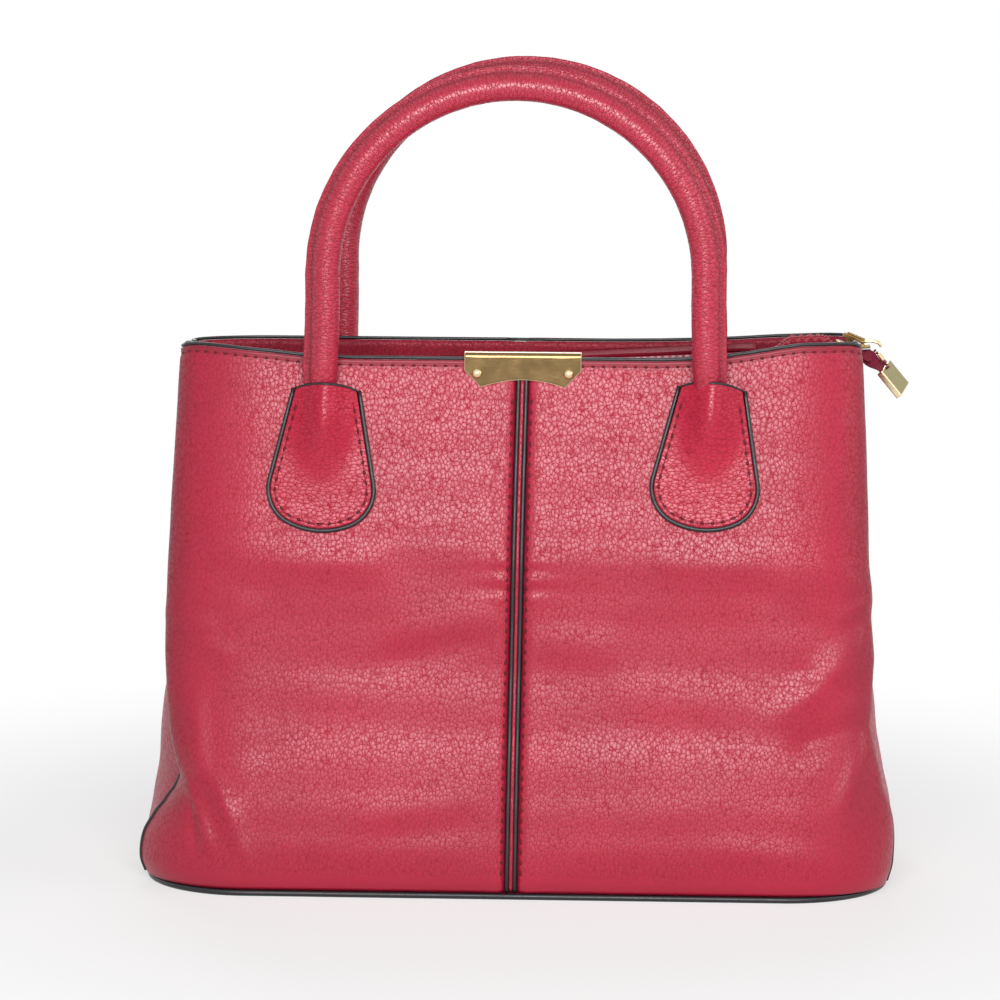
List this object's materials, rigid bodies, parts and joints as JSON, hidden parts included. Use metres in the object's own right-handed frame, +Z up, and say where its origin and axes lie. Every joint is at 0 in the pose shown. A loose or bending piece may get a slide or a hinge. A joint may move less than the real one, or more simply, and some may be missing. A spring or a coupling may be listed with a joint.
{
  "type": "top handle bag",
  "caption": "Structured leather top handle bag with rolled handles on piped tabs, a piped centre seam, folded gussets, a metal plate on the front edge and a recessed top zip with a tail.",
  "frame": {"origin": "centre of the base, on the surface that the bag stands on", "axes": "+Z up, front with the plate towards -Y, zip tail towards +X"},
  "size_m": [0.3234, 0.1464, 0.348],
  "materials": {
    "red_leather": "pebbled, satin",
    "facing_leather": "pebbled, satin",
    "piping_leather": "smooth, glossy",
    "gold_metal": "polished, light gold plated",
    "lining_cloth": "woven",
    "base_board": "pressed fibre",
    "zip_tape": "woven",
    "cord_core": "cotton cord"
  },
  "bodies": {
    "bag_body": {"base_panel": "red_leather", "base_piping": "piping_leather", "base_board": "base_board", "base_lining": "lining_cloth", "front_left_panel": "red_leather", "front_right_panel": "red_leather", "front_centre_strip": "red_leather", "front_left_centre_piping": "piping_leather", "front_right_centre_piping": "piping_leather", "front_left_side_piping": "piping_leather", "front_right_side_piping": "piping_leather", "front_top_piping": "piping_leather", "front_facing": "facing_leather", "front_lining": "lining_cloth", "back_right_panel": "red_leather", "back_left_panel": "red_leather", "back_centre_strip": "red_leather", "back_right_centre_piping": "piping_leather", "back_left_centre_piping": "piping_leather", "back_right_side_piping": "piping_leather", "back_left_side_piping": "piping_leather", "back_top_piping": "piping_leather", "back_facing": "facing_leather", "back_lining": "lining_cloth", "right_gusset": "red_leather", "left_gusset": "red_leather", "front_left_tab": "red_leather", "front_left_tab_piping": "piping_leather", "front_left_handle_end": "red_leather", "front_right_tab": "red_leather", "front_right_tab_piping": "piping_leather", "front_right_handle_end": "red_leather", "back_right_tab": "red_leather", "back_right_tab_piping": "piping_leather", "back_right_handle_end": "red_leather", "back_left_tab": "red_leather", "back_left_tab_piping": "piping_leather", "back_left_handle_end": "red_leather", "plate_left_rivet": "gold_metal", "plate_right_rivet": "gold_metal", "top_plate": "gold_metal", "zip_end_tapes": "zip_tape", "zip_end_teeth": "zip_tape"},
    "front_handle": {"front_handle_cover": "red_leather", "front_handle_core": "cord_core"},
    "back_handle": {"back_handle_cover": "red_leather", "back_handle_core": "cord_core"},
    "front_zip_flap": {"front_zip_panel": "red_leather", "front_zip_tape": "zip_tape", "front_zip_teeth": "zip_tape"},
    "back_zip_flap": {"back_zip_panel": "red_leather", "back_zip_tape": "zip_tape", "back_zip_teeth": "zip_tape"},
    "zip_slider": {"zip_slider": "gold_metal"},
    "zip_pull": {"zip_pull_loop": "gold_metal"},
    "zip_tail": {"zip_tail_tape": "zip_tape", "zip_bottom_stop": "gold_metal", "zip_end_cap": "gold_metal"}
  },
  "joints": [
    {"name": "front_handle_fold", "type": "hinge", "parent": "bag_body", "child": "front_handle", "pos_m": [0, -0.0482, 0.2198], "axis": [1, 0, 0], "range_deg": [-12, 70], "stiffness_Nm_per_rad": 0.3},
    {"name": "back_handle_fold", "type": "hinge", "parent": "bag_body", "child": "back_handle", "pos_m": [0, 0.0482, 0.2198], "axis": [-1, 0, 0], "range_deg": [-12, 70], "stiffness_Nm_per_rad": 0.3},
    {"name": "front_zip_flap_fold", "type": "hinge", "parent": "bag_body", "child": "front_zip_flap", "pos_m": [0.00014, -0.0356, 0.21816], "axis": [0.9986, 0, 0.0523], "range_deg": [-70, 0], "stiffness_Nm_per_rad": 0.1},
    {"name": "back_zip_flap_fold", "type": "hinge", "parent": "bag_body", "child": "back_zip_flap", "pos_m": [0.00014, 0.0356, 0.21816], "axis": [-0.9986, 0, -0.0523], "range_deg": [-70, 0], "stiffness_Nm_per_rad": 0.1},
    {"name": "zip_slide", "type": "slide", "parent": "bag_body", "child": "zip_slider", "axis": [-0.9986, 0, -0.0523], "range_m": [0, 0.236]},
    {"name": "zip_pull_swing", "type": "hinge", "parent": "zip_slider", "child": "zip_pull", "pos_m": [0.1455, 0, 0.22939], "axis": [0, 1, 0], "range_deg": [-140, 0]},
    {"name": "zip_tail_bend", "type": "hinge", "parent": "bag_body", "child": "zip_tail", "pos_m": [0.14949, 0, 0.22484], "axis": [0, 1, 0], "range_deg": [-40, 40], "stiffness_Nm_per_rad": 0.02}
  ]
}
